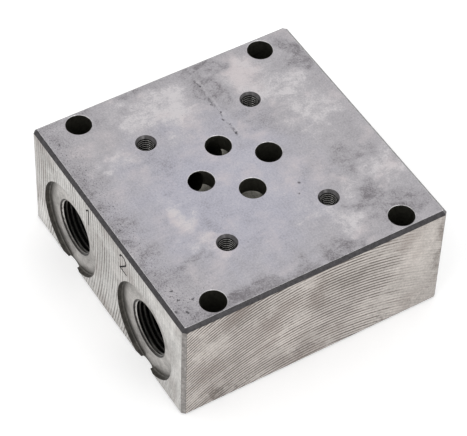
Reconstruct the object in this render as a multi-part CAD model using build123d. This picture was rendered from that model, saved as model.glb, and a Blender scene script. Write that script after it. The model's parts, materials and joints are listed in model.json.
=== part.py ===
from build123d import *
import os
from math import radians, tan

# A hydraulic subplate: one block that carries a single size 6 directional valve on its top face and
# brings the valve's four ports out to threaded ports on two opposite sides.
# Frame: millimetres, +Z up, origin at the centre of the base. The tank and pressure ports open to -Y,
# the two working ports open to +Y.

# Block
LENGTH = 80.0                 # along X
WIDTH = 80.0                  # along Y
HEIGHT = 35.0                 # along Z
TOP_CHAMFER = 1.0             # the four edges of the valve face
CORNER_CHAMFER = 0.9          # the four upright edges
BASE_CHAMFER = 0.5            # the four edges of the base

# Drills
DRILL_POINT = 118.0           # included angle of each drill's point, in degrees
CLEAR_CUT = 2.0               # how far each cutter starts outside the surface that it enters

# Valve face: hole pattern of a size 6 directional valve, centred on the block
BOLT_SPAN = 40.5              # between the two bolt rows, along X
BOLT_SPACING_A = 31.0         # between the bolts beside port A, along Y
BOLT_SPACING_B = 32.5         # between the bolts beside port B, along Y
PORT_A_X = 7.55
PORT_B_X = -9.95
PORT_PT_X = -1.25
PORT_PT_SPACING = 20.8        # between ports T and P, along Y
VALVE_PORT_DIAMETER = 7.3
VALVE_PORT_DEPTH = 5.2        # straight wall of the short port bores
VALVE_PORT_EDGE = 0.1         # broken edge at the mouth

# Valve bolts: M5 tapped holes
BOLT_TAP_DRILL = 4.2
BOLT_HOLE_DEPTH = 12.5
BOLT_COUNTERSINK = 5.8        # diameter at the valve face

# Holes for the screws that hold the block down
MOUNT_INSET_X = 5.0           # hole axis to the nearest side, along X
MOUNT_INSET_Y = 11.5
MOUNT_HOLE_DIAMETER = 7.2
MOUNT_HOLE_EDGE = 0.1         # broken edge at both ends

# Side ports: G 3/8 tapped holes in wide spotfaces
SIDE_PORT_SPACING = 40.0      # between the two ports of one side, along X
SIDE_PORT_HEIGHT = 13.8       # axis above the base
SPOTFACE_DIAMETER = 28.0
SPOTFACE_DEPTH = 1.5
SIDE_TAP_DRILL = 15.25
SIDE_PORT_DEPTH = 15.0        # straight wall below the spotface
SIDE_COUNTERSINK = 16.6       # diameter at the spotface

# Galleries between the valve ports and the side ports
GALLERY_DIAMETER = 7.0        # straight run behind a side port
GALLERY_OVERRUN = 1.0         # straight wall past the point where the slanted drilling comes in
SLANT_DIAMETER = 5.0          # slanted drilling, entered through a valve port
PRESSURE_DIAMETER = 6.0       # long drilling from the pressure side port to valve port P
PRESSURE_ENTRY = 5.5          # where it crosses the side port's axis, below the spotface


def drilling(mouth, end, diameter, mouth_diameter=0.0):
    """Cutter of one drilled hole from mouth to end, with a 45 degree countersink and a drill point.

    The straight wall stops at end, and the drill point lies beyond it.
    """
    run = Vector(*end) - Vector(*mouth)
    depth = run.length
    radius = diameter / 2
    mouth_radius = max(mouth_diameter / 2, radius)
    tip = radius / tan(radians(DRILL_POINT / 2))
    outline = [(0, CLEAR_CUT)]
    if mouth_radius > radius:
        outline += [(mouth_radius + CLEAR_CUT, CLEAR_CUT), (radius, radius - mouth_radius)]
    else:
        outline += [(radius, CLEAR_CUT)]
    outline += [(radius, -depth), (0, -depth - tip)]
    profile = make_face(Polyline(*outline, close=True))
    cutter = revolve(Plane.XZ * profile, Axis.Z)
    return Plane(origin=mouth, z_dir=-run) * cutter


def blank():
    """The block sawn and milled to size, with its edges chamfered."""
    body = Box(LENGTH, WIDTH, HEIGHT, align=(Align.CENTER, Align.CENTER, Align.MIN))
    body = chamfer(body.edges().filter_by(Axis.Z), CORNER_CHAMFER)
    body = chamfer(body.faces().sort_by(Axis.Z)[-1].outer_wire().edges(), TOP_CHAMFER)
    return chamfer(body.faces().sort_by(Axis.Z)[0].outer_wire().edges(), BASE_CHAMFER)


def bolt_holes():
    """Blind tapped holes for the valve's four bolts, at tap drill size."""
    rows = [(BOLT_SPAN / 2, BOLT_SPACING_A), (-BOLT_SPAN / 2, BOLT_SPACING_B)]
    cutters = []
    for x, spacing in rows:
        for y in (-spacing / 2, spacing / 2):
            end = (x, y, HEIGHT - BOLT_HOLE_DEPTH)
            cutters.append(drilling((x, y, HEIGHT), end, BOLT_TAP_DRILL, BOLT_COUNTERSINK))
    return cutters


def mount_holes():
    """Through holes near the corners, with both edges broken."""
    middle = HEIGHT / 2
    far_x = LENGTH / 2 - MOUNT_INSET_X
    far_y = WIDTH / 2 - MOUNT_INSET_Y
    mouth_diameter = MOUNT_HOLE_DIAMETER + 2 * MOUNT_HOLE_EDGE
    cutters = []
    for x in (-far_x, far_x):
        for y in (-far_y, far_y):
            for face in (0, HEIGHT):
                cutters.append(drilling((x, y, face), (x, y, middle), MOUNT_HOLE_DIAMETER, mouth_diameter))
    return cutters


def side_port(x, side):
    """Spotface and tapping hole of one side port; side is -1 for the -Y face and 1 for the +Y face."""
    face = side * WIDTH / 2
    floor = face - side * SPOTFACE_DEPTH
    end = floor - side * SIDE_PORT_DEPTH
    from_floor = (Align.CENTER, Align.CENTER, Align.MIN)
    spot = Cylinder(SPOTFACE_DIAMETER / 2, SPOTFACE_DEPTH + CLEAR_CUT, align=from_floor)
    spot = Plane(origin=(x, floor, SIDE_PORT_HEIGHT), z_dir=(0, side, 0)) * spot
    hole = drilling((x, floor, SIDE_PORT_HEIGHT), (x, end, SIDE_PORT_HEIGHT), SIDE_TAP_DRILL, SIDE_COUNTERSINK)
    return [spot, hole]


def valve_port(x, y, depth):
    """Straight bore of one valve port."""
    mouth_diameter = VALVE_PORT_DIAMETER + 2 * VALVE_PORT_EDGE
    return drilling((x, y, HEIGHT), (x, y, HEIGHT - depth), VALVE_PORT_DIAMETER, mouth_diameter)


def slanted_circuit(valve_x, valve_y, port_x, side):
    """A valve port, the slanted drilling below it and the gallery that leads on to a side port."""
    start = side * (WIDTH / 2 - SPOTFACE_DEPTH - SIDE_PORT_DEPTH)
    stop = valve_y - side * GALLERY_OVERRUN
    meeting = (port_x, valve_y, SIDE_PORT_HEIGHT)
    gallery = drilling((port_x, start, SIDE_PORT_HEIGHT), (port_x, stop, SIDE_PORT_HEIGHT), GALLERY_DIAMETER)
    slant = drilling((valve_x, valve_y, HEIGHT), meeting, SLANT_DIAMETER)
    return [valve_port(valve_x, valve_y, VALVE_PORT_DEPTH), slant, gallery] + side_port(port_x, side)


def pressure_circuit(valve_x, valve_y, port_x, side):
    """The deep valve port P and the long drilling that reaches it through the side port's mouth."""
    depth = HEIGHT - SIDE_PORT_HEIGHT + GALLERY_DIAMETER / 2
    entry = side * (WIDTH / 2 - SPOTFACE_DEPTH - PRESSURE_ENTRY)
    crossing = (port_x, entry, SIDE_PORT_HEIGHT)
    long_run = drilling(crossing, (valve_x, valve_y, SIDE_PORT_HEIGHT), PRESSURE_DIAMETER)
    return [valve_port(valve_x, valve_y, depth), long_run] + side_port(port_x, side)


def manifold_block():
    """The finished block."""
    near_x = SIDE_PORT_SPACING / 2
    pt_y = PORT_PT_SPACING / 2
    cutters = bolt_holes() + mount_holes()
    cutters += slanted_circuit(PORT_A_X, 0, near_x, 1)
    cutters += slanted_circuit(PORT_B_X, 0, -near_x, 1)
    cutters += slanted_circuit(PORT_PT_X, -pt_y, -near_x, -1)
    cutters += pressure_circuit(PORT_PT_X, pt_y, near_x, -1)
    return blank() - cutters


os.makedirs("parts", exist_ok=True)
export_step(manifold_block(), "parts/manifold_block.step")
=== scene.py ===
import json
import math
import bpy
import bmesh
from mathutils import Matrix, Vector


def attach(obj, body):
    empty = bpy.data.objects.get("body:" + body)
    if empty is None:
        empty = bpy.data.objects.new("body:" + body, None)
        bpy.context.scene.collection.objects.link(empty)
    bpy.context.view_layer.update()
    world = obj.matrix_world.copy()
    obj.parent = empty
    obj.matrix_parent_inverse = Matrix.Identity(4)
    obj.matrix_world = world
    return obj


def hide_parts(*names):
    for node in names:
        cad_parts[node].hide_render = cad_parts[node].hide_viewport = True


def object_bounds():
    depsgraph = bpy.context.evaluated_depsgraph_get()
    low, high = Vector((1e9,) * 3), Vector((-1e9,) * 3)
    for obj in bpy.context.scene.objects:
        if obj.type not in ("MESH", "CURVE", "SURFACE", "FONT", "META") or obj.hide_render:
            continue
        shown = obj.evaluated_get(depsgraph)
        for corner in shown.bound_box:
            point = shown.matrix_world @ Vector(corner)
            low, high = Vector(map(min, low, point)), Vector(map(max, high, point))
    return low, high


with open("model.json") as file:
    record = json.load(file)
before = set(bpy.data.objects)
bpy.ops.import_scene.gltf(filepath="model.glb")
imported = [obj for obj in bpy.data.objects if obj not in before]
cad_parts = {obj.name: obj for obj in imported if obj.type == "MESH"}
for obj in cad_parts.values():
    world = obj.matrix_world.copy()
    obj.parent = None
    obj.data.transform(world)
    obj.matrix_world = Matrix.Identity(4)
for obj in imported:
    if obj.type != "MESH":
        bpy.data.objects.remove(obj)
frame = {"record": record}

# A machined steel manifold block for one size 6 valve. The solids give its size and the places of its
# holes; here it gets its thread forms, softened edges, stamped port numbers and machined surfaces.

CAD_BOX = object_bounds()
MM = 0.001
HALF_X, HALF_Y, TOP = CAD_BOX[1]
MOUNTS = {mount["name"]: mount for mount in frame["record"]["mounts"]}

# Edges of the block
TOP_CHAMFER = 1.0 * MM
CORNER_CHAMFER = 0.9 * MM
BASE_CHAMFER = 0.5 * MM
EDGE_ROUND = 0.07 * MM

# Holes: radii, and depths below the surface that each one starts from
DRILL_POINT = math.radians(118)
PORT_DEPTH = 5.2 * MM
PORT_EDGE = 0.1 * MM
HOLE_EDGE = 0.1 * MM
BOLT_DEPTH = 12.5 * MM
BOLT_COUNTERSINK = 2.9 * MM
SPOTFACE_RADIUS = 14.0 * MM
SPOTFACE_DEPTH = 1.5 * MM
SPOTFACE_FILLET = 0.5 * MM
SIDE_DEPTH = 15.0 * MM
SIDE_COUNTERSINK = 8.3 * MM
GALLERY_RADIUS = 3.5 * MM
GALLERY_OVERRUN = 1.0 * MM
SLANT_RADIUS = 2.5 * MM
PRESSURE_RADIUS = 3.0 * MM
PRESSURE_ENTRY = 5.5 * MM
OUTSIDE = 2.0 * MM             # how far each cutter starts outside the block
ROUND_SEGMENTS = 96
SPOTFACE_SEGMENTS = 160
FILLET_STEPS = 8

# Threads: outer radius, how far the cutter's core stays inside the bore, pitch, depths where the thread
# begins and ends, flats at crest and root as shares of the pitch, the turn at which the thread begins,
# and facets round one turn
M5 = {"outer": 2.5 * MM, "inset": 0.02 * MM, "pitch": 0.8 * MM, "begin": 0, "end": 10.5 * MM,
      "crest": 0.2, "root": 0.1, "turn": 0, "segments": 48}
G38 = {"outer": 8.33 * MM, "inset": 0.03 * MM, "pitch": 1.337 * MM, "begin": 0.5 * MM, "end": 12.5 * MM,
       "crest": 0.14, "root": 0.12, "turn": 0.35, "segments": 96}

# ---------------------------------------------------------------- meshes

def mesh_object(name, bm):
    """A new object in the scene from a bmesh."""
    bmesh.ops.recalc_face_normals(bm, faces=bm.faces[:])
    mesh = bpy.data.meshes.new(name)
    bm.to_mesh(mesh)
    bm.free()
    piece = bpy.data.objects.new(name, mesh)
    bpy.context.scene.collection.objects.link(piece)
    return piece


def octagon(inset, height):
    """Outline of the block at one height, with all eight sides moved in by inset."""
    x = HALF_X - inset
    y = HALF_Y - inset
    cut = CORNER_CHAMFER - inset * (2 - math.sqrt(2))
    corners = [(x, -y + cut), (x, y - cut), (x - cut, y), (-x + cut, y)]
    corners += [(-x, y - cut), (-x, -y + cut), (-x + cut, -y), (x - cut, -y)]
    return [Vector((px, py, height)) for px, py in corners]


def blank():
    """The block with its chamfers, and with each edge very slightly rounded."""
    levels = [(BASE_CHAMFER, 0), (0, BASE_CHAMFER), (0, TOP - TOP_CHAMFER), (TOP_CHAMFER, TOP)]
    bm = bmesh.new()
    rings = [[bm.verts.new(corner) for corner in octagon(*level)] for level in levels]
    bm.faces.new(rings[0])
    bm.faces.new(rings[-1])
    for lower, upper in zip(rings, rings[1:]):
        for i in range(8):
            j = (i + 1) % 8
            bm.faces.new((lower[i], lower[j], upper[j], upper[i]))
    bmesh.ops.recalc_face_normals(bm, faces=bm.faces[:])
    bmesh.ops.bevel(bm, geom=bm.edges[:], offset=EDGE_ROUND, segments=2, profile=0.5, affect="EDGES")
    return mesh_object("machined_block", bm)


def turned(outline, segments=ROUND_SEGMENTS):
    """Closed solid turned about Z from (radius, height) points that start and end on the axis."""
    bm = bmesh.new()
    angles = [2 * math.pi * i / segments for i in range(segments)]
    rings = []
    for radius, height in outline:
        if radius == 0:
            rings.append([bm.verts.new((0, 0, height))])
        else:
            points = [(radius * math.cos(a), radius * math.sin(a), height) for a in angles]
            rings.append([bm.verts.new(point) for point in points])
    for upper, lower in zip(rings, rings[1:]):
        for i in range(segments):
            j = (i + 1) % segments
            corners = [ring[k % len(ring)] for ring, k in ((upper, i), (lower, i), (lower, j), (upper, j))]
            bm.faces.new(dict.fromkeys(corners))
    return mesh_object("cutter", bm)


def drill(radius, depth, mouth=0.0):
    """Cutter of a drilled hole down -Z: a 45 degree mouth, a straight wall and a drill point."""
    tip = radius / math.tan(DRILL_POINT / 2)
    wide = max(mouth, radius)
    outline = [(0, OUTSIDE), (wide + OUTSIDE, OUTSIDE), (radius, radius - wide)]
    if wide == radius:
        outline = [(0, OUTSIDE), (radius, OUTSIDE)]
    return turned(outline + [(radius, -depth), (0, -depth - tip)])


def thread(spec, bore):
    """Closed screw-shaped cutter down -Z: a right-hand V groove round a core just inside the bore.

    The groove grows from nothing below its begin depth and fades to nothing at its end depth.
    """
    core = bore - spec["inset"]
    segments = spec["segments"]
    pitch = spec["pitch"]
    height = spec["outer"] - core
    crest, root = spec["crest"], spec["root"]
    flank = (1 - crest - root) / 2
    profile = [(0, 0), (crest, 0), (crest + flank / 2, 0.5), (crest + flank, 1)]
    profile += [(crest + flank + root, 1), (crest + 1.5 * flank + root, 0.5)]
    rows = len(profile)
    turns = math.ceil(spec["end"] / pitch) + 1
    count = rows * turns
    bm = bmesh.new()

    def vertex(row, column):
        share, rise = profile[row % rows]
        turn = row // rows + share
        angle = 2 * math.pi * (column / segments + spec["turn"])
        z = pitch * (column / segments - turn + 0.5)
        fade = (z + spec["end"]) / pitch
        if spec["begin"]:
            fade = min(fade, (-z - spec["begin"]) / (0.5 * pitch))
        radius = core + rise * height * min(1.0, max(0.0, fade))
        return bm.verts.new((radius * math.cos(angle), radius * math.sin(angle), z))

    grid = [[vertex(row, column) for column in range(segments)] for row in range(count + 1)]
    lead_in = [vertex(row, segments) for row in range(rows)]

    def at(row, column):
        if column < segments:
            return grid[row][column]
        return grid[row - rows][0] if row >= rows else lead_in[row]

    for row in range(count):
        for column in range(segments):
            near, far = at(row, column), at(row, column + 1)
            bm.faces.new((near, at(row + 1, column), at(row + 1, column + 1), far))
    start = [at(0, column) for column in range(segments)] + lead_in
    stop = [at(count, column) for column in range(segments)]
    stop += [grid[row][0] for row in range(count - rows, count)]
    for loop in (start, stop):
        centre = bm.verts.new((0, 0, sum(v.co.z for v in loop) / len(loop)))
        for a, b in zip(loop, loop[1:] + loop[:1]):
            bm.faces.new((centre, a, b))
    return mesh_object("cutter", bm)


def aim(cutter, mouth, outward):
    """Puts a cutter made down -Z at a mouth, with its +Z pointing outward."""
    turn = Vector(outward).to_track_quat("Z", "Y").to_matrix().to_4x4()
    cutter.data.transform(Matrix.Translation(Vector(mouth)) @ turn)
    return cutter


def subtract(body, cutter):
    """Cuts one cutter out of the body and throws the cutter away."""
    modifier = body.modifiers.new("cut", "BOOLEAN")
    modifier.object = cutter
    modifier.operation = "DIFFERENCE"
    modifier.solver = "MANIFOLD"
    graph = bpy.context.evaluated_depsgraph_get()
    cut = bpy.data.meshes.new_from_object(body.evaluated_get(graph))
    body.modifiers.clear()
    old = body.data
    body.data = cut
    bpy.data.meshes.remove(old)
    spent = cutter.data
    bpy.data.objects.remove(cutter)
    bpy.data.meshes.remove(spent)


# ---------------------------------------------------------------- holes

def pattern(name):
    """Centres of a bolt pattern's holes on the valve face, and their radius."""
    mount = MOUNTS[name]
    dims = mount["dims"]
    across = dims.get("spacing_x_mm", 0) / 2 * MM
    along = dims.get("spacing_y_mm", 0) / 2 * MM
    x, y, _ = mount["pos_m"]
    places = {(x + i * across, y + j * along) for i in (-1, 1) for j in (-1, 1)}
    return sorted(places), dims["hole_r_mm"] * MM


def hold_down_holes():
    """Through holes with both edges broken."""
    places, radius = pattern("hold_down_holes")
    for x, y in places:
        for height, outward in ((TOP, 1), (0, -1)):
            cutter = drill(radius, TOP / 2, radius + HOLE_EDGE)
            yield aim(cutter, (x, y, height), (0, 0, outward))


def bolt_holes():
    """Countersunk M5 holes."""
    for name in ("valve_bolts_a", "valve_bolts_b"):
        places, radius = pattern(name)
        for x, y in places:
            yield aim(drill(radius, BOLT_DEPTH, BOLT_COUNTERSINK), (x, y, TOP), (0, 0, 1))
            yield aim(thread(M5, radius), (x, y, TOP), (0, 0, 1))


def valve_port(name, depth):
    """Bore of one valve port."""
    mount = MOUNTS["valve_port_" + name]
    x, y, _ = mount["pos_m"]
    radius = mount["dims"]["r_mm"] * MM
    return aim(drill(radius, depth, radius + PORT_EDGE), (x, y, TOP), (0, 0, 1))


def spotface():
    """Cutter of the shallow wide seat round a side port, with a small fillet in its corner."""
    outline = [(0, OUTSIDE), (SPOTFACE_RADIUS, OUTSIDE)]
    for step in range(FILLET_STEPS + 1):
        angle = math.pi / 2 * step / FILLET_STEPS
        radius = SPOTFACE_RADIUS - SPOTFACE_FILLET * (1 - math.cos(angle))
        outline.append((radius, -SPOTFACE_DEPTH + SPOTFACE_FILLET * (1 - math.sin(angle))))
    return turned(outline + [(0, -SPOTFACE_DEPTH)], SPOTFACE_SEGMENTS)


def side_port(name):
    """Spotface, tapping hole and thread of one side port."""
    mount = MOUNTS["side_port_" + name]
    x, _, z = mount["pos_m"]
    side = mount["axis"][1]
    radius = mount["dims"]["r_mm"] * MM
    floor = (x, side * (HALF_Y - SPOTFACE_DEPTH), z)
    yield aim(spotface(), (x, side * HALF_Y, z), (0, side, 0))
    yield aim(drill(radius, SIDE_DEPTH, SIDE_COUNTERSINK), floor, (0, side, 0))
    yield aim(thread(G38, radius), floor, (0, side, 0))


def passage(start, end, radius):
    """Cutter of a straight drilling between two points inside the block."""
    run = Vector(start) - Vector(end)
    return aim(drill(radius, run.length), start, run)


def slanted_circuit(name):
    """Valve port, slanted drilling and gallery of ports A, B and T."""
    valve_x, valve_y, _ = MOUNTS["valve_port_" + name]["pos_m"]
    port_x, _, height = MOUNTS["side_port_" + name]["pos_m"]
    side = MOUNTS["side_port_" + name]["axis"][1]
    start = side * (HALF_Y - SPOTFACE_DEPTH - SIDE_DEPTH)
    stop = valve_y - side * GALLERY_OVERRUN
    yield valve_port(name, PORT_DEPTH)
    yield passage((valve_x, valve_y, TOP), (port_x, valve_y, height), SLANT_RADIUS)
    yield passage((port_x, start, height), (port_x, stop, height), GALLERY_RADIUS)
    yield from side_port(name)


def pressure_circuit(name):
    """Deep valve port P and the long drilling to it through its side port."""
    valve_x, valve_y, _ = MOUNTS["valve_port_" + name]["pos_m"]
    port_x, _, height = MOUNTS["side_port_" + name]["pos_m"]
    side = MOUNTS["side_port_" + name]["axis"][1]
    entry = side * (HALF_Y - SPOTFACE_DEPTH - PRESSURE_ENTRY)
    yield valve_port(name, TOP - height + GALLERY_RADIUS)
    yield passage((port_x, entry, height), (valve_x, valve_y, height), PRESSURE_RADIUS)
    yield from side_port(name)


# ---------------------------------------------------------------- stamped port numbers

STAMP_HEIGHT = 5.6 * MM
STAMP_STROKE = 0.5 * MM
STAMP_DEPTH = 0.3 * MM
STAMP_BELOW = 2.5 * MM         # top of a number below the valve face
STAMP_CENTRE = 9.2 * MM        # middle of a number from the block's middle
STAMP_CELL = 0.6               # width of a number's cell, as a share of its height
# Section of a stroke: height and width, the width as a share of the stroke's width at the surface
STAMP_PROFILE = [(STAMP_DEPTH, 2.0), (0, 1.0), (-STAMP_DEPTH, 0.35)]


def arc(centre, radius, start, stop, steps=10):
    """Points along an arc, angles in degrees."""
    points = []
    for step in range(steps + 1):
        angle = math.radians(start + (stop - start) * step / steps)
        points.append((centre[0] + radius * math.cos(angle), centre[1] + radius * math.sin(angle)))
    return points


# Strokes of each number, in a cell one unit high
FIGURES = {
    "1": [[(0.12, 0.78), (0.34, 1.0), (0.34, 0.0)]],
    "2": [arc((0.3, 0.72), 0.28, 165, -30) + [(0.02, 0.0), (0.6, 0.0)]],
    "3": [arc((0.28, 0.75), 0.25, 150, -90) + arc((0.28, 0.25), 0.25, 90, -150)],
    "4": [[(0.42, 0.0), (0.42, 1.0), (0.0, 0.3), (0.58, 0.3)]],
}


def stroke(a, b):
    """Wedge-shaped cutter of one straight stamp stroke, cut down -Z."""
    along = Vector((b[0] - a[0], b[1] - a[1], 0))
    side = Vector((-along.y, along.x, 0)).normalized() * STAMP_STROKE / 2
    end = along.normalized() * STAMP_STROKE / 2
    bm = bmesh.new()
    rings = []
    for height, width in STAMP_PROFILE:
        corners = [(a, -1, -1), (b, 1, -1), (b, 1, 1), (a, -1, 1)]
        ring = []
        for point, out, across in corners:
            place = Vector((point[0], point[1], height)) + (end * out + side * across) * width
            ring.append(bm.verts.new(place))
        rings.append(ring)
    bm.faces.new(rings[0])
    bm.faces.new(rings[-1])
    for upper, lower in zip(rings, rings[1:]):
        for i in range(4):
            j = (i + 1) % 4
            bm.faces.new((upper[i], lower[i], lower[j], upper[j]))
    return mesh_object("cutter", bm)


def stamps():
    """Plain port numbers, punched beside each side port under the valve face's edge."""
    for name, figure in {"t": "1", "p": "2", "a": "3", "b": "4"}.items():
        mount = MOUNTS["side_port_" + name]
        side = mount["axis"][1]
        right = Vector((-side, 0, 0))
        outward = Vector((0, side, 0))
        turn = Matrix((right, (0, 0, 1), outward)).transposed().to_4x4()
        centre = math.copysign(STAMP_CENTRE, mount["pos_m"][0])
        foot = Vector((centre, side * HALF_Y, TOP - STAMP_BELOW - STAMP_HEIGHT))
        corner = foot - right * (STAMP_CELL / 2) * STAMP_HEIGHT
        for line in FIGURES[figure]:
            for a, b in zip(line, line[1:]):
                cutter = stroke([v * STAMP_HEIGHT for v in a], [v * STAMP_HEIGHT for v in b])
                cutter.data.transform(Matrix.Translation(corner) @ turn)
                yield cutter


def build_block():
    """The finished block as one mesh."""
    body = blank()
    groups = [hold_down_holes(), bolt_holes()]
    groups += [slanted_circuit(name) for name in ("a", "b", "t")]
    groups += [pressure_circuit("p"), stamps()]
    for group in groups:
        for cutter in group:
            subtract(body, cutter)
    return body


# ---------------------------------------------------------------- materials

X, Y, Z = range(3)


class Shader:
    """Adds nodes to one material and links them. Its lengths are in millimetres on the block."""

    def __init__(self, name):
        self.material = bpy.data.materials.new(name)
        self.material.use_nodes = True
        self.tree = self.material.node_tree
        self.tree.nodes.clear()
        self.output = self.tree.nodes.new("ShaderNodeOutputMaterial")
        self.surface = self.tree.nodes.new("ShaderNodeBsdfPrincipled")
        self.tree.links.new(self.surface.outputs["BSDF"], self.output.inputs["Surface"])
        place = self.tree.nodes.new("ShaderNodeTexCoord")
        self.point = self.vector("SCALE", place.outputs["Object"], 1 / MM)

    def feed(self, socket, value):
        """Links an output to a socket, or sets the socket's own value."""
        if isinstance(value, bpy.types.NodeSocket):
            self.tree.links.new(value, socket)
        else:
            socket.default_value = value

    def math(self, operation, a, b=0.0):
        """Result of one operation on two values."""
        node = self.tree.nodes.new("ShaderNodeMath")
        node.operation = operation
        self.feed(node.inputs[0], a)
        self.feed(node.inputs[1], b)
        return node.outputs[0]

    def vector(self, operation, a, b):
        """Result of one operation on a vector and a vector or factor."""
        node = self.tree.nodes.new("ShaderNodeVectorMath")
        node.operation = operation
        self.feed(node.inputs[0], a)
        self.feed(node.inputs["Scale"] if operation == "SCALE" else node.inputs[1], b)
        return node.outputs[0]

    def split(self, vector):
        """The three coordinates of a vector."""
        node = self.tree.nodes.new("ShaderNodeSeparateXYZ")
        self.feed(node.inputs[0], vector)
        return node.outputs

    def noise(self, scale, detail=4.0, roughness=0.5, distortion=0.0, shift=(0, 0, 0), stretch=(1, 1, 1)):
        """Noise with scale features per millimetre, from 0 to 1 about 0.5."""
        place = self.tree.nodes.new("ShaderNodeMapping")
        self.feed(place.inputs["Vector"], self.point)
        place.inputs["Location"].default_value = shift
        place.inputs["Scale"].default_value = stretch
        node = self.tree.nodes.new("ShaderNodeTexNoise")
        self.feed(node.inputs["Vector"], place.outputs[0])
        node.inputs["Scale"].default_value = scale
        node.inputs["Detail"].default_value = detail
        node.inputs["Roughness"].default_value = roughness
        node.inputs["Distortion"].default_value = distortion
        return node.outputs["Fac"]

    def span(self, value, low, high, to_low=0.0, to_high=1.0, smooth=True):
        """Maps low..high to to_low..to_high and holds the ends."""
        node = self.tree.nodes.new("ShaderNodeMapRange")
        node.interpolation_type = "SMOOTHSTEP" if smooth else "LINEAR"
        self.feed(node.inputs["Value"], value)
        node.inputs["From Min"].default_value = low
        node.inputs["From Max"].default_value = high
        node.inputs["To Min"].default_value = to_low
        node.inputs["To Max"].default_value = to_high
        return node.outputs["Result"]

    def reach(self, x, y, centre_x, centre_y, half_x, half_y):
        """Distance from a centre, as a share of the half widths."""
        dx = self.math("DIVIDE", self.math("SUBTRACT", x, centre_x), half_x)
        dy = self.math("DIVIDE", self.math("SUBTRACT", y, centre_y), half_y)
        squares = self.math("ADD", self.math("MULTIPLY", dx, dx), self.math("MULTIPLY", dy, dy))
        return self.math("SQRT", squares)

    def cell_random(self, cell, seed):
        """One random number from 0 to 1 for each whole number."""
        node = self.tree.nodes.new("ShaderNodeTexWhiteNoise")
        node.noise_dimensions = "1D"
        self.feed(node.inputs["W"], self.math("ADD", cell, seed * 17.0 + 0.5))
        return node.outputs["Value"]

    def streaks(self, path, pitch, along, seed):
        """Fine streaks that follow the milling path, about three to a pitch, from -1 to 1 about 0."""
        join = self.tree.nodes.new("ShaderNodeCombineXYZ")
        self.feed(join.inputs[0], self.math("DIVIDE", path, pitch * 0.36))
        self.feed(join.inputs[1], self.math("MULTIPLY", along, 0.16))
        join.inputs[2].default_value = seed * 3.3
        node = self.tree.nodes.new("ShaderNodeTexNoise")
        self.feed(node.inputs["Vector"], join.outputs[0])
        node.inputs["Scale"].default_value = 1.0
        node.inputs["Detail"].default_value = 3.0
        node.inputs["Roughness"].default_value = 0.65
        return self.span(node.outputs["Fac"], 0.3, 0.7, -1.0, 1.0, False)

    def blend(self, factor, a, b):
        """Colour a where the factor is 0 and colour b where it is 1."""
        node = self.tree.nodes.new("ShaderNodeMix")
        node.data_type = "RGBA"
        self.feed(node.inputs["Factor"], factor)
        self.feed(node.inputs["A"], a)
        self.feed(node.inputs["B"], b)
        return node.outputs["Result"]

    def bump(self, height, distance):
        """Roughens the surface's shading by a height from 0 to 1, distance deep in metres."""
        node = self.tree.nodes.new("ShaderNodeBump")
        node.inputs["Strength"].default_value = 1.0
        node.inputs["Distance"].default_value = distance
        self.feed(node.inputs["Height"], height)
        self.feed(self.surface.inputs["Normal"], node.outputs[0])

    def finish(self, colour, roughness, metallic):
        """Sets the surface and gives back its material."""
        self.feed(self.surface.inputs["Base Color"], colour)
        self.feed(self.surface.inputs["Roughness"], roughness)
        self.feed(self.surface.inputs["Metallic"], metallic)
        return self.material


def srgb(red, green, blue):
    """Linear colour from display values out of 255."""
    return tuple(((v / 255 + 0.055) / 1.055) ** 2.4 for v in (red, green, blue)) + (1.0,)


METAL = 0.75                   # metallic share of bare steel under its thin film of oil

# Colours of the valve face, as display values
FACE_EDGE = (180, 177, 181)
FACE_MIDDLE = (184, 183, 194)
FACE_BARE = (213, 209, 211)
FACE_WARM = (212, 202, 203)
FACE_OILED = (128, 124, 128)
FACE_RUBBED = (208, 205, 208)
FACE_PIT = (72, 70, 74)

# Clouds on the valve face: centre and half widths in millimetres, and how much lighter or darker
CLOUDS = [
    (-28, 18, 8, 6, 1.3), (-33, 24, 4, 5, 0.6), (-20, 28, 5, 9, 0.9), (-8, 29, 6, 7, 1.0),
    (-28, -4, 8, 8, 1.2), (-31, -15, 6, 5, 0.7), (31, 17, 7, 4, 1.1), (22, 11, 6, 4, 0.8),
    (18, 34, 6, 5, 0.9), (20, 25, 3, 4, 0.6), (6, -22, 6, 4, 0.9), (20, -20, 3, 5, 0.6),
    (-17, -28, 3, 7, 0.6), (4, 4, 11, 9, 0.2), (29, 28, 7, 6, -0.7), (12, 29, 4, 6, -0.7),
    (32, 33, 5, 5, -0.7),
    (26, 20, 3, 5, -0.6), (-28, 36, 10, 3, -0.9), (-38, 12, 3, 6, -0.6), (-29, 8.5, 9, 2, -0.6),
    (39, 6, 4, 12, -0.9), (38, -20, 4, 18, -1.0), (23, -29, 4, 7, -0.6), (-38, -16, 3, 20, -0.6),
    (-12, -17, 9, 4, -0.3), (12, -16, 8, 3, -0.3), (0, -38, 40, 4, -0.6), (-10, 16, 8, 6, -0.25),
]

# Small dark pits on the valve face: centre and radius in millimetres
PITS = [
    (12, 11.6, 0.45), (15.3, 9.5, 0.3), (-15, 6.7, 0.4), (-11.5, 6.5, 0.45), (-20, 6.8, 0.35),
    (-31, 6.9, 0.3), (27, -36, 0.45), (28.5, -37, 0.35), (30.5, -36, 0.35), (33.5, -38.4, 0.4),
    (35, -36, 0.45), (20.5, -36.8, 0.3), (-23.5, 6.2, 0.3), (-17.4, 5.9, 0.3), (32, -32.5, 0.35),
    (3, -37.5, 0.3), (-31, -36.5, 0.35),
]

# Broken scratch across the left of the valve face, and the pale rubbed line beside it
SCRATCH_Y = 6.2
SCRATCH_SLOPE = -0.015
RUBBED_Y = 7.3


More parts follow.
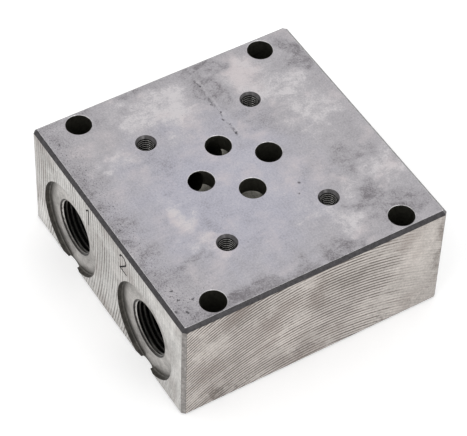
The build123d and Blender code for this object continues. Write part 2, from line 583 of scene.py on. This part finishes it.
def valve_face():
    """Ground face, darkened by heat and oil into soft blue-grey clouds with paler bare patches."""
    s = Shader("ground_valve_face")
    x, y, _ = s.split(s.point)

    # Clouds, with wandering outlines and a scaly middle
    wx = s.math("ADD", x, s.span(s.noise(0.13, 4, 0.55), 0.2, 0.8, -7, 7, False))
    wy = s.math("ADD", y, s.span(s.noise(0.13, 4, 0.55, shift=(31, 7, 3)), 0.2, 0.8, -7, 7, False))
    tone = 0.0
    for cx, cy, half_x, half_y, weight in CLOUDS:
        cloud = s.span(s.reach(wx, wy, cx, cy, half_x, half_y), 0.1, 1.5, weight, 0.0)
        tone = s.math("ADD", tone, cloud)
    rough = s.span(s.math("ABSOLUTE", tone), 0.1, 0.8, 0.1, 1.0)
    scaly = s.span(s.noise(0.36, 6, 0.66, 0.9, (12, 3, 0), (1, 0.6, 1)), 0.3, 0.7, -0.5, 0.5)
    mottle = s.span(s.noise(0.2, 5, 0.55, 0.2, (9, 4, 0)), 0.3, 0.7, -0.16, 0.16)
    brushed = s.span(s.noise(0.5, 4, 0.6, 0.2, (2, 8, 0), (1.0, 0.35, 1)), 0.3, 0.7, -0.14, 0.14)
    grain = s.span(s.noise(2.0, 4, 0.85, 0.2), 0.34, 0.66, -0.5, 0.5, False)
    texture = s.math("ADD", s.math("ADD", mottle, brushed), s.math("MULTIPLY", rough, scaly))
    tone = s.math("ADD", tone, texture)
    speckle = s.math("ADD", tone, s.math("MULTIPLY", grain, 1.15))

    # Blue in the middle, paler and warmer where bare, darker where oiled
    blue = s.span(s.reach(wx, wy, 4, -8, 34, 32), 0.3, 1.15, 1.0, 0.0)
    colour = s.blend(blue, srgb(*FACE_EDGE), srgb(*FACE_MIDDLE))
    colour = s.blend(s.span(speckle, -0.1, 1.4), colour, srgb(*FACE_BARE))
    colour = s.blend(s.span(speckle, 0.1, -1.5), colour, srgb(*FACE_OILED))
    warm = s.span(s.noise(0.09, 4, 0.55, 0.3, (50, 10, 0)), 0.46, 0.66, 0, 0.55)
    colour = s.blend(s.math("MULTIPLY", warm, s.span(tone, -0.3, 0.5)), colour, srgb(*FACE_WARM))

    # Specks all over, dense along the front edge and in its right corner
    dark = s.span(s.noise(1.5, 3, 0.7, 0, (3, 9, 0)), 0.70, 0.76, 0, 0.8)
    corner = s.math("MULTIPLY", s.span(y, -22, -32), s.span(x, 22, 32))
    front = s.math("MAXIMUM", s.span(y, -29, -37), corner)
    dense = s.span(s.noise(2.2, 3, 0.75, 0, (23, 5, 0)), 0.57, 0.63, 0, 0.85)
    dark = s.math("MAXIMUM", dark, s.math("MULTIPLY", front, dense))

    # Pits and the scratch, with ragged edges
    edge_x = s.math("ADD", x, s.span(s.noise(1.4, 3, 0.6), 0.3, 0.7, -0.3, 0.3))
    edge_y = s.math("ADD", y, s.span(s.noise(1.4, 3, 0.6, shift=(7, 7, 7)), 0.3, 0.7, -0.3, 0.3))
    for cx, cy, radius in PITS:
        pit = s.span(s.reach(edge_x, edge_y, cx, cy, radius, radius), 0.6, 1.25, 0.85, 0.0)
        dark = s.math("MAXIMUM", dark, pit)
    middle = s.math("ADD", s.math("MULTIPLY", x, SCRATCH_SLOPE), SCRATCH_Y)
    line = s.math("ABSOLUTE", s.math("SUBTRACT", edge_y, middle))
    broken = s.span(s.noise(0.45, 4, 0.7, 0, (1, 60, 0), (1, 0.3, 1)), 0.4, 0.58)
    ends = s.math("MULTIPLY", s.span(x, -40, -34), s.span(x, -8, -12))
    present = s.math("MULTIPLY", broken, ends)
    scratch = s.math("MULTIPLY", s.span(line, 0.1, 0.45, 0.5, 0.0), present)
    dark = s.math("MAXIMUM", dark, scratch)
    beside = s.math("ABSOLUTE", s.math("SUBTRACT", edge_y, RUBBED_Y))
    rubbed = s.math("MULTIPLY", s.span(beside, 0.1, 0.7, 0.4, 0.0), present)
    colour = s.blend(rubbed, colour, srgb(*FACE_RUBBED))
    colour = s.blend(dark, colour, srgb(*FACE_PIT))

    fine = s.noise(2.0, 5, 0.7, 0.5)
    s.bump(s.math("SUBTRACT", fine, s.math("MULTIPLY", dark, 1.5)), 0.012 * MM)
    return s.finish(colour, s.span(grain, -0.5, 0.5, 0.52, 0.4), METAL)


def milled(name, along, arch, centre, radius, pitch, depth, tone, bright_end, seed, stains=()):
    """Milled side: arcs of the cutter, stepped by its feed, worn and stained here and there.

    along and arch pick two axes: the arcs are centred at one place on the first and bulge along the
    second, pitch apart and marked as dark as depth says. The marks fade towards bright_end, a place
    on the side's level axis. stains gives patches by centre and half widths, sideways and up, and how
    much lighter or darker each one is.
    """
    s = Shader(name)
    shift = (seed * 13.7, seed * 5.1, seed * 9.3)
    axes = s.split(s.point)
    level = axes[X if X in (along, arch) else Y]
    away = s.math("ABSOLUTE", s.math("SUBTRACT", level, bright_end))

    # Distance across the arcs, counted in pitches
    offset = s.math("SUBTRACT", axes[along], centre)
    chord = s.math("SUBTRACT", radius * radius, s.math("MULTIPLY", offset, offset))
    wander = s.span(s.noise(0.04, 2, 0.5, shift=shift), 0.2, 0.8, -0.1, 0.1, False)
    path = s.math("ADD", s.math("SUBTRACT", axes[arch], s.math("SQRT", chord)), wander)
    ripple = s.span(s.noise(0.9, 3, 0.6, shift=shift), 0.2, 0.8, -0.04, 0.04, False)
    turns = s.math("DIVIDE", s.math("ADD", path, ripple), pitch)

    # Dark marks, uneven from turn to turn, worn away in patches and towards the bright end
    groove = s.span(s.math("SINE", s.math("MULTIPLY", turns, 2 * math.pi)), -0.2, 1.0)
    uneven = s.span(s.cell_random(s.math("FLOOR", turns), seed), 0, 1, 0.65, 1.35, False)
    worn = s.span(s.noise(0.13, 3, 0.55, 0.4, shift), 0.34, 0.56, 0.4, 1.0)
    kept = s.math("MULTIPLY", worn, s.span(away, 12, 36, 0.06, 1.0))
    marks = s.math("MULTIPLY", groove, s.math("MULTIPLY", kept, uneven))

    # Grain, streaks and soft patches
    streak = s.streaks(path, pitch, axes[along], seed)
    grain = s.span(s.noise(1.6, 4, 0.75, 0.2, shift), 0.32, 0.68, -0.5, 0.5, False)
    stain = s.span(s.noise(0.06, 3, 0.5, 0.4, shift), 0.48, 0.7)
    bare = s.span(s.noise(0.07, 4, 0.55, 0.5, (shift[1], shift[2], shift[0])), 0.48, 0.68)
    value = s.math("MULTIPLY", marks, -depth)
    for part, weight in ((grain, 0.7), (streak, 0.3), (stain, -0.25), (bare, 0.3)):
        value = s.math("ADD", value, s.math("MULTIPLY", part, weight))
    value = s.math("ADD", value, s.span(away, 0, 34, 0.0, 0.3))

    # Rubbed and speckled low down, and stained at the given places
    drift = s.span(s.noise(0.12, 4, 0.6, shift=shift), 0.2, 0.8, -6, 6, False)
    lift = s.span(s.noise(0.14, 4, 0.6, 0, (9, 2, 5)), 0.2, 0.8, -5, 5, False)
    stain_level = s.math("ADD", level, drift)
    stain_height = s.math("ADD", axes[Z], lift)
    patchy = s.span(s.noise(0.12, 3, 0.5, 0, (2, 8, 6)), 0.42, 0.6)
    worn_low = s.math("MULTIPLY", s.span(stain_height, 10, 3), patchy)
    speckle = s.span(s.noise(1.3, 4, 0.7, 0.3, shift), 0.36, 0.64, -0.45, 0.35, False)
    value = s.math("ADD", value, s.math("MULTIPLY", worn_low, speckle))
    for place, height, half_level, half_height, weight in stains:
        reach = s.reach(stain_level, stain_height, place, height, half_level, half_height)
        value = s.math("ADD", value, s.span(reach, 0.1, 1.5, weight, 0))

    pale = tuple(min(255, v * 1.22) for v in tone)
    dull = (tone[0] * 0.56, tone[1] * 0.53, tone[2] * 0.51)
    brown = (tone[0] * 0.84, tone[1] * 0.78, tone[2] * 0.76)
    colour = s.blend(s.span(value, 0.0, 1.0, smooth=False), srgb(*tone), srgb(*pale))
    colour = s.blend(s.span(value, 0.0, -1.15, smooth=False), colour, srgb(*dull))
    colour = s.blend(s.math("MULTIPLY", stain, 0.3), colour, srgb(*brown))
    relief = s.math("SUBTRACT", s.math("MULTIPLY", grain, 0.3), s.math("MULTIPLY", marks, 0.7))
    s.bump(relief, 0.02 * MM)
    return s.finish(colour, s.span(value, -1, 1, 0.5, 0.36), METAL)


def plain_cut(name, tone, metallic=METAL, roughness=0.4):
    """Plain machined surface with a little unevenness."""
    s = Shader(name)
    grain = s.noise(0.9, 6, 0.7, 0.4)
    dull = tuple(v * 0.8 for v in tone)
    pale = tuple(min(255, v * 1.15) for v in tone)
    colour = s.blend(s.span(grain, 0.3, 0.7), srgb(*dull), srgb(*pale))
    s.bump(grain, 0.01 * MM)
    return s.finish(colour, roughness, metallic)


def from_side_port(s):
    """Distance in millimetres from the axis of the nearest side port."""
    port_x, _, port_z = MOUNTS["side_port_p"]["pos_m"]
    x, _, z = s.split(s.point)
    return s.reach(s.math("ABSOLUTE", x), z, abs(port_x) / MM, port_z / MM, 1.0, 1.0)


def from_bolt(s):
    """Distance in millimetres from the axis of the nearest valve bolt."""
    x, y, _ = s.split(s.point)
    bolt_x = abs(MOUNTS["valve_bolts_a"]["pos_m"][0]) / MM
    right_y = MOUNTS["valve_bolts_a"]["dims"]["spacing_y_mm"] / 2
    left_y = MOUNTS["valve_bolts_b"]["dims"]["spacing_y_mm"] / 2
    on_right = s.math("GREATER_THAN", x, 0.0)
    bolt_y = s.math("ADD", left_y, s.math("MULTIPLY", on_right, right_y - left_y))
    off_y = s.math("SUBTRACT", s.math("ABSOLUTE", y), bolt_y)
    return s.reach(s.math("ABSOLUTE", x), off_y, bolt_x, 0.0, 1.0, 1.0)


SEAT_FEED = 0.45               # millimetres between the turned rings of a seat


def spotfaced():
    """Seat turned round each side port: fine rings on its floor, a painted contact shadow on the floor next
    to the wall, and a wall painted dark, partly painted shade in the recess and partly its darker scaly
    finish.
    """
    s = Shader("spotfaced_seat")
    reach = from_side_port(s)
    ring = s.math("SINE", s.math("MULTIPLY", reach, 2 * math.pi / SEAT_FEED))
    grain = s.span(s.noise(0.6, 5, 0.65, 0.5), 0.3, 0.7, -0.5, 0.5)
    patch = s.span(s.noise(0.16, 4, 0.6, 0.5, (4, 4, 4)), 0.35, 0.65, -0.5, 0.5)
    value = s.math("ADD", s.math("MULTIPLY", ring, 0.25), s.math("ADD", grain, patch))
    colour = s.blend(s.span(value, -1.0, 1.0, smooth=False), srgb(138, 135, 131), srgb(200, 196, 192))
    outer = SPOTFACE_RADIUS / MM
    edge = s.math("ADD", reach, s.math("MULTIPLY", grain, 0.3))
    # Dark colour for the painted contact shadow on the floor and for the wall, which is partly painted shade
    # and partly a darker scaly finish
    scale = s.blend(s.span(grain, -0.5, 0.5), srgb(70, 68, 64), srgb(98, 95, 90))
    # Painted contact shadow: the floor darkens towards the wall
    colour = s.blend(s.span(edge, outer - 3.0, outer - 0.8, 0.0, 0.5), colour, scale)
    # The wall itself, painted dark: partly painted shade in the recess, partly its darker finish
    colour = s.blend(s.span(edge, outer - 1.2, outer - 0.2), colour, scale)
    s.bump(s.math("ADD", ring, s.math("MULTIPLY", grain, 0.6)), 0.008 * MM)
    return s.finish(colour, 0.38, METAL)


def port_mouth():
    """Countersink of a side port: painted shade as a dark band at its rim, and a turned ring inside it with
    a painted highlight above that turns into painted shade below.
    """
    s = Shader("side_port_mouth")
    grain = s.span(s.noise(1.2, 4, 0.65, 0.4), 0.3, 0.7, -0.08, 0.08)
    reach = s.math("ADD", from_side_port(s), grain)
    _, _, z = s.split(s.point)
    axis = MOUNTS["side_port_p"]["pos_m"][2] / MM
    # Painted highlight on the upper part of the ring, turning to painted shade on its lower part
    painted_highlight_to_shade = s.span(z, axis - 1, axis - 7, smooth=False)
    colour = s.blend(painted_highlight_to_shade, srgb(196, 193, 189), srgb(118, 115, 111))
    # Painted shade: a dark band at the outer rim of the countersink
    colour = s.blend(s.span(reach, 7.82, 7.92), colour, srgb(50, 48, 46))
    s.bump(grain, 0.01 * MM)
    return s.finish(colour, 0.33, METAL)


def threaded(name, reach_of, groove, crest, dark, light):
    """Cut thread, with painted shade in its grooves and painted highlights along its crests.

    groove and crest are the distances from its axis, in millimetres, where it is darkest and brightest.
    """
    s = Shader(name)
    grain = s.noise(1.6, 4, 0.6, 0.4)
    # Painted shade in the grooves and painted highlights along the crests
    colour = s.blend(s.span(reach_of(s), groove, crest), srgb(*dark), srgb(*light))
    colour = s.blend(s.span(grain, 0.35, 0.75, 0, 0.5), colour, srgb(*(v * 0.5 for v in dark)))
    return s.finish(colour, 0.28, 0.9)


# Stains on the milled sides: centre and half widths in millimetres, and how much lighter or darker
FRONT_STAINS = [
    (33, 31, 5, 3, 0.5), (0, 20, 5, 6, -0.2), (-37, 6, 4, 6, 0.3), (-31, 31, 8, 4, -0.5),
    (38, 16, 3, 14, 0.35),
]
RIGHT_STAINS = [
    (7, 26, 8, 7, -0.5), (-23, 31, 5, 4, -0.35), (11, 16, 6, 5, -0.25), (-28, 3, 3, 2.5, -0.7),
    (-8, 15, 10, 5, 0.35), (31, 24, 5, 8, 0.5), (38.5, 20, 1.5, 12, -0.5), (-35, 31, 4, 3, 0.3),
    (22, 6, 8, 4, 0.2),
]

# What the front and back have in common, and what the right and left have
PORTED = {"along": Z, "arch": X, "pitch": 1.2, "tone": (183, 181, 178), "stains": FRONT_STAINS}
PLAIN = {"along": Y, "arch": Z, "pitch": 1.12, "tone": (176, 170, 165), "stains": RIGHT_STAINS, "radius": 74}

SURFACES = {
    "valve_face": valve_face(),
    "side_front": milled("milled_front", centre=28, radius=100, depth=0.95, bright_end=44, seed=1, **PORTED),
    "side_right": milled("milled_right", centre=2.3, depth=1.9, bright_end=48, seed=2, **PLAIN),
    "side_back": milled("milled_back", centre=-5, radius=90, depth=0.8, bright_end=-46, seed=3, **PORTED),
    "side_left": milled("milled_left", centre=-2.3, depth=0.8, bright_end=-48, seed=4, **PLAIN),
    "base": milled("milled_base", Y, X, centre=4, radius=120, pitch=1.4, depth=0.7, tone=(180, 176, 173),
                   bright_end=60, seed=5),
    # Top chamfers: the front, left and right ones are painted dark as a painted reflection of dark
    # surroundings; the back one is painted lighter, a lit copy of the same steel
    "chamfer": plain_cut("painted_dark_top_chamfer", (68, 66, 68), 0.5, 0.45),
    "back_chamfer": plain_cut("painted_lighter_back_chamfer", (128, 126, 127), 0.5, 0.45),
    "corner": plain_cut("corner_chamfer", (143, 139, 136)),
    "base_chamfer": plain_cut("base_chamfer", (120, 117, 115)),
    "seat": spotfaced(),
    "mouth": port_mouth(),
    # Bores painted dark: painted shade inside the holes
    "bore": plain_cut("painted_shade_bore", (66, 65, 58), 0.5, 0.35),
    # Painted highlight on the broken edges round the holes
    "rim": plain_cut("painted_highlight_edge", (222, 220, 221), METAL, 0.3),
    "stamp": plain_cut("stamped_number", (52, 50, 49), 0.5, 0.5),
    # Drill-point floors painted darker: painted shade at the bottom of the holes
    "drilled": plain_cut("drill_point", (100, 98, 92), METAL, 0.35),
    # Threads: painted shade in the grooves and painted highlights on the crests
    "side_thread": threaded("side_port_thread", from_side_port, 8.2, 7.7, (46, 45, 43), (104, 102, 98)),
    "bolt_thread": threaded("bolt_thread", from_bolt, 2.17, 2.1, (26, 25, 24), (190, 188, 184)),
    # Countersinks of the bolt holes painted dark: painted shade
    "countersink": plain_cut("countersink", (84, 82, 83), 0.8, 0.28),
}

# Limits that tell one surface from another: distances, and shares of a normal along an axis
NEAR = 0.3 * MM
FLUSH = NEAR / 10
SQUARE = 0.99
SLOPED = 0.05
SINK_UP = 0.6                  # a countersink's normal along Z is more than this
FLOOR_UP = 0.7                 # and that of a drill point's floor more than this
RIM_UP = 0.1
MOUTH_DEPTH = 0.7 * MM         # of a side port's countersink
BOLT_MOUTH_DEPTH = 0.5 * MM
THREAD_INSIDE = 7.4 * MM       # a radius just inside the G 3/8 bore


def surface_of(centre, normal):
    """Name of the surface that a face belongs to, from its place and direction."""
    side_x = HALF_X - abs(centre.x)
    side_y = HALF_Y - abs(centre.y)
    below = TOP - centre.z
    if below < FLUSH and normal.z > SQUARE:
        return "valve_face"
    if centre.z < FLUSH and normal.z < -SQUARE:
        return "base"
    if side_x < FLUSH and abs(normal.x) > SQUARE:
        return "side_right" if centre.x > 0 else "side_left"
    if side_y < FLUSH and abs(normal.y) > SQUARE:
        return "side_back" if centre.y > 0 else "side_front"
    outward_x = normal.x * centre.x > 0 and side_x < TOP_CHAMFER
    outward_y = normal.y * centre.y > 0 and side_y < TOP_CHAMFER
    if outward_x or outward_y:
        if normal.z > SLOPED and below < TOP_CHAMFER:
            return "back_chamfer" if centre.y > HALF_Y - TOP_CHAMFER else "chamfer"
        if normal.z < -SLOPED and centre.z < BASE_CHAMFER:
            return "base_chamfer"
        if abs(normal.z) < SLOPED and side_x < CORNER_CHAMFER and side_y < CORNER_CHAMFER:
            return "corner"
    for name in ("a", "b", "t", "p"):
        mount = MOUNTS["side_port_" + name]
        x, _, z = mount["pos_m"]
        depth = HALF_Y - mount["axis"][1] * centre.y - SPOTFACE_DEPTH
        reach = math.hypot(centre.x - x, centre.z - z)
        if -SPOTFACE_DEPTH < depth < FLUSH and reach < SPOTFACE_RADIUS + NEAR:
            return "seat"
        if depth < SIDE_DEPTH + NEAR and THREAD_INSIDE < reach < SIDE_COUNTERSINK + NEAR:
            return "mouth" if depth < MOUTH_DEPTH else "side_thread"
    for name in ("valve_bolts_a", "valve_bolts_b"):
        for x, y in pattern(name)[0]:
            if math.hypot(centre.x - x, centre.y - y) < BOLT_COUNTERSINK + NEAR:
                return "countersink" if below < BOLT_MOUTH_DEPTH and normal.z > SINK_UP else "bolt_thread"
    if side_y < STAMP_DEPTH + FLUSH:
        return "stamp"
    if below < 1.1 * HOLE_EDGE and RIM_UP < normal.z < SQUARE:
        return "rim"
    if below > NEAR and normal.z > FLOOR_UP:
        return "drilled"
    return "bore"


SHARP_ANGLE = math.radians(28)  # edges that turn more than this stay sharp


def dress(body):
    """Gives each face its surface and shades rounded walls smoothly."""
    names = list(SURFACES)
    body.data.materials.clear()
    for name in names:
        body.data.materials.append(SURFACES[name])
    for face in body.data.polygons:
        face.material_index = names.index(surface_of(face.center, face.normal))
        face.use_smooth = True
    body.data.set_sharp_from_angle(angle=SHARP_ANGLE)


# ---------------------------------------------------------------- studio

FLOOR_HALF = 3.0                # half the floor's width, in metres
FLOOR_COLOUR = (0.85, 0.85, 0.85, 1)
FLOOR_GLOW = 0.32
WORLD_STRENGTH = 0.9


def floor():
    """Pale floor that shows white to the camera and in reflections, and keeps the block's shadow."""
    bm = bmesh.new()
    corners = ((-1, -1), (1, -1), (1, 1), (-1, 1))
    bm.faces.new([bm.verts.new((x * FLOOR_HALF, y * FLOOR_HALF, 0)) for x, y in corners])
    plane = mesh_object("studio_floor", bm)
    material = bpy.data.materials.new("studio_floor")
    material.use_nodes = True
    tree = material.node_tree
    tree.nodes.clear()
    output = tree.nodes.new("ShaderNodeOutputMaterial")
    diffuse = tree.nodes.new("ShaderNodeBsdfDiffuse")
    diffuse.inputs["Color"].default_value = FLOOR_COLOUR
    glow = tree.nodes.new("ShaderNodeEmission")
    path = tree.nodes.new("ShaderNodeLightPath")
    seen = path.outputs["Is Camera Ray"]
    for ray in ("Is Glossy Ray", "Is Transmission Ray"):
        either = tree.nodes.new("ShaderNodeMath")
        either.operation = "MAXIMUM"
        tree.links.new(seen, either.inputs[0])
        tree.links.new(path.outputs[ray], either.inputs[1])
        seen = either.outputs[0]
    strength = tree.nodes.new("ShaderNodeMath")
    strength.operation = "MULTIPLY"
    strength.inputs[1].default_value = FLOOR_GLOW
    tree.links.new(seen, strength.inputs[0])
    tree.links.new(strength.outputs[0], glow.inputs["Strength"])
    both = tree.nodes.new("ShaderNodeAddShader")
    tree.links.new(diffuse.outputs[0], both.inputs[0])
    tree.links.new(glow.outputs[0], both.inputs[1])
    tree.links.new(both.outputs[0], output.inputs["Surface"])
    plane.data.materials.append(material)


def lamp(name, place, size, power):
    """Square soft light aimed at the block."""
    data = bpy.data.lights.new(name, "AREA")
    data.size = size
    data.energy = power
    light = bpy.data.objects.new(name, data)
    light.location = place
    sight = Vector((0, 0, TOP / 2)) - Vector(place)
    light.rotation_euler = sight.to_track_quat("-Z", "Y").to_euler()
    bpy.context.scene.collection.objects.link(light)


def studio():
    """Even white surroundings and two large soft lights."""
    world = bpy.data.worlds.new("studio")
    world.use_nodes = True
    background = world.node_tree.nodes["Background"]
    background.inputs["Color"].default_value = (1, 1, 1, 1)
    background.inputs["Strength"].default_value = WORLD_STRENGTH
    bpy.context.scene.world = world
    lamp("key_light", (0.2, -0.6, 1.0), 0.4, 1.0)
    lamp("fill_light", (0.8, 0.1, 0.8), 0.4, 0.7)


# Camera: where it stands round the block, in degrees and metres, and its lens and sensor in millimetres
CAMERA_AZIMUTH = 57.05
CAMERA_ELEVATION = 48.95
CAMERA_ROLL = 2.24
CAMERA_DISTANCE = 0.6464
CAMERA_TARGET = (-0.01126, 0.00656, 0.0005)
CAMERA_LENS = 179.04
CAMERA_SENSOR = 36.0


def camera():
    """Long lens from above and the front right, a little rolled."""
    azimuth = math.radians(CAMERA_AZIMUTH)
    elevation = math.radians(CAMERA_ELEVATION)
    level = math.cos(elevation)
    back = Vector((math.sin(azimuth) * level, -math.cos(azimuth) * level, math.sin(elevation)))
    right = Vector((0, 0, 1)).cross(back).normalized()
    up = back.cross(right)
    roll = Matrix.Rotation(math.radians(CAMERA_ROLL), 3, "Z")
    turn = Matrix((right, up, back)).transposed() @ roll
    place = Vector(CAMERA_TARGET) + back * CAMERA_DISTANCE
    data = bpy.data.cameras.new("camera")
    data.lens = CAMERA_LENS
    data.sensor_width = CAMERA_SENSOR
    view = bpy.data.objects.new("camera", data)
    view.matrix_world = Matrix.Translation(place) @ turn.to_4x4()
    bpy.context.scene.collection.objects.link(view)
    bpy.context.scene.camera = view


camera()
studio()
floor()
block = build_block()
dress(block)
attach(block, "root")
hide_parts("manifold_block")
bpy.context.scene.view_settings.view_transform = "Standard"
